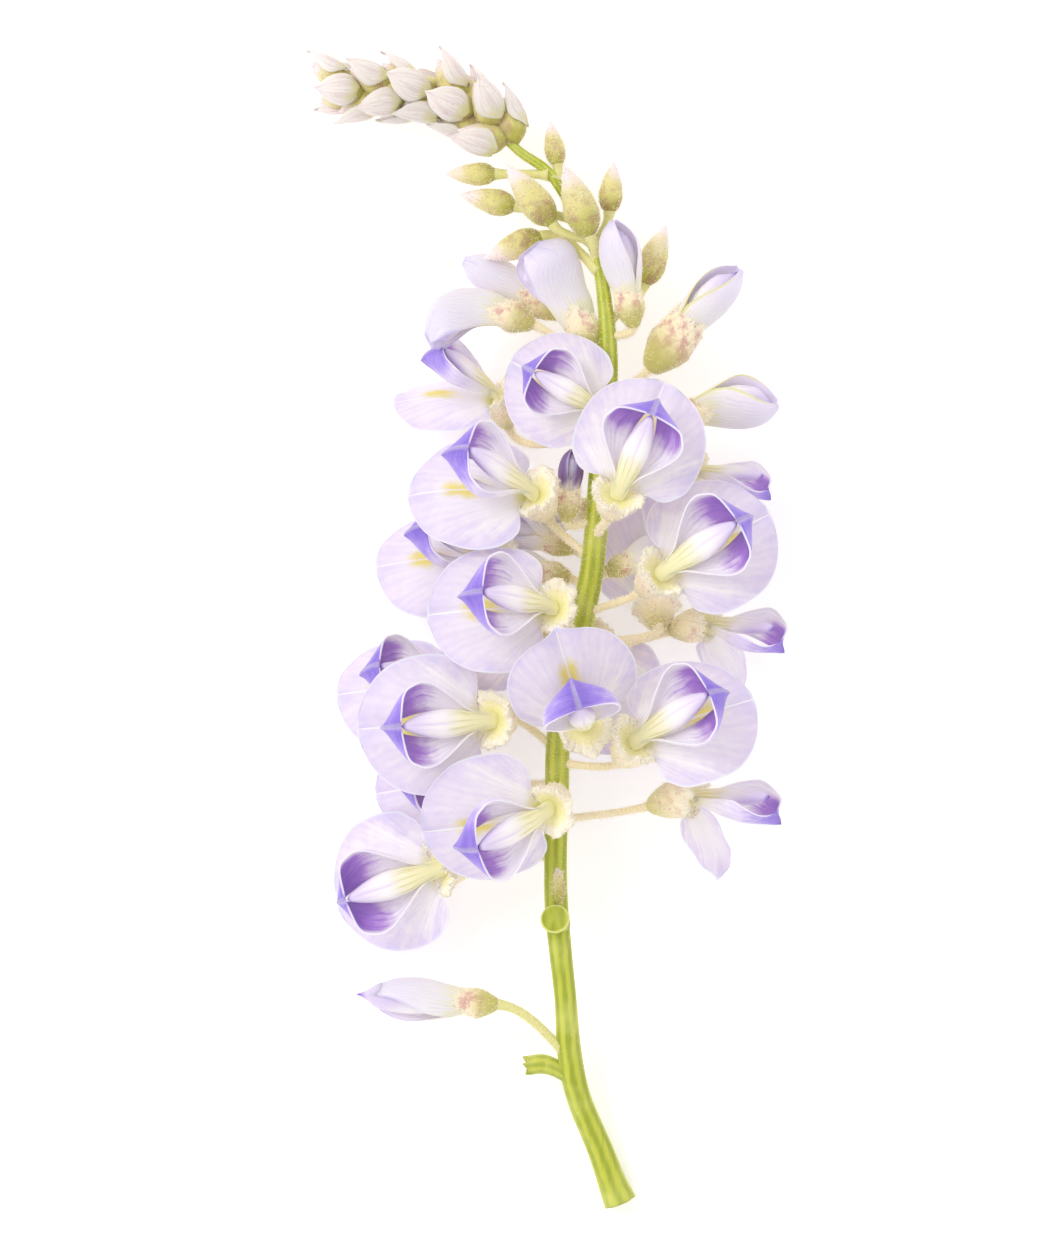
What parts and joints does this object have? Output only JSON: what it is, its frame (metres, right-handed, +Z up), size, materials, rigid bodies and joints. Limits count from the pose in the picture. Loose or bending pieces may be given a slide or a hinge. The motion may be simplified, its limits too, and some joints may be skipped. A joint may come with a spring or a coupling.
{
  "type": "wisteria flower raceme",
  "caption": "Cut wisteria raceme lying on its side: a green stalk with open lilac pea flowers, opening buds and a tight curved tip of closed buds",
  "frame": {"origin": "On the surface that the raceme lies on, under the centre of its bounding box", "axes": "+Y runs along the raceme from the cut end of the stalk to the tip, +X across it, +Z up from the surface"},
  "size_m": [0.0718, 0.1736, 0.0384],
  "materials": {
    "green": "satin plant stalk, yellow-green, with cream hairy calyces and pinkish-white buds",
    "banner": "thin pale lilac petal with a soft sheen, paler at its base, with a yellow blotch",
    "wings": "thin blue-violet petals, white at their rims and base, round a cream keel",
    "bud_petals": "folded pale lilac petals with bluish tips"
  },
  "bodies": {
    "root": {"flower_01_banner": "banner", "flower_01_wings_keel": "wings", "flower_02_banner": "banner", "flower_02_wings_keel": "wings", "flower_03_banner": "banner", "flower_03_wings_keel": "wings", "flower_04_banner": "banner", "flower_04_wings_keel": "wings", "flower_05_banner": "banner", "flower_05_wings_keel": "wings", "flower_06_banner": "banner", "flower_06_wings_keel": "wings", "flower_07_banner": "banner", "flower_07_wings_keel": "wings", "flower_08_banner": "banner", "flower_08_wings_keel": "wings", "flower_09_banner": "banner", "flower_09_wings_keel": "wings", "flower_10_banner": "banner", "flower_10_wings_keel": "wings", "flower_11_banner": "banner", "flower_11_wings_keel": "wings", "flower_12_banner": "banner", "flower_12_wings_keel": "wings", "flower_13_banner": "banner", "flower_13_wings_keel": "wings", "flower_14_banner": "banner", "flower_14_wings_keel": "wings", "flower_15_banner": "banner", "flower_15_wings_keel": "wings", "flower_16_banner": "banner", "flower_16_wings_keel": "wings", "flower_17_banner": "banner", "flower_17_wings_keel": "wings", "flower_18_banner": "banner", "flower_18_wings_keel": "wings", "flower_19_banner": "banner", "flower_19_wings_keel": "wings", "flower_20_banner": "banner", "flower_20_wings_keel": "wings", "opening_01_petals": "bud_petals", "opening_02_petals": "bud_petals", "opening_03_petals": "bud_petals", "opening_04_petals": "bud_petals", "opening_05_petals": "bud_petals", "opening_06_petals": "bud_petals", "opening_07_petals": "bud_petals", "opening_08_petals": "bud_petals", "stem": "green"}
  },
  "joints": []
}
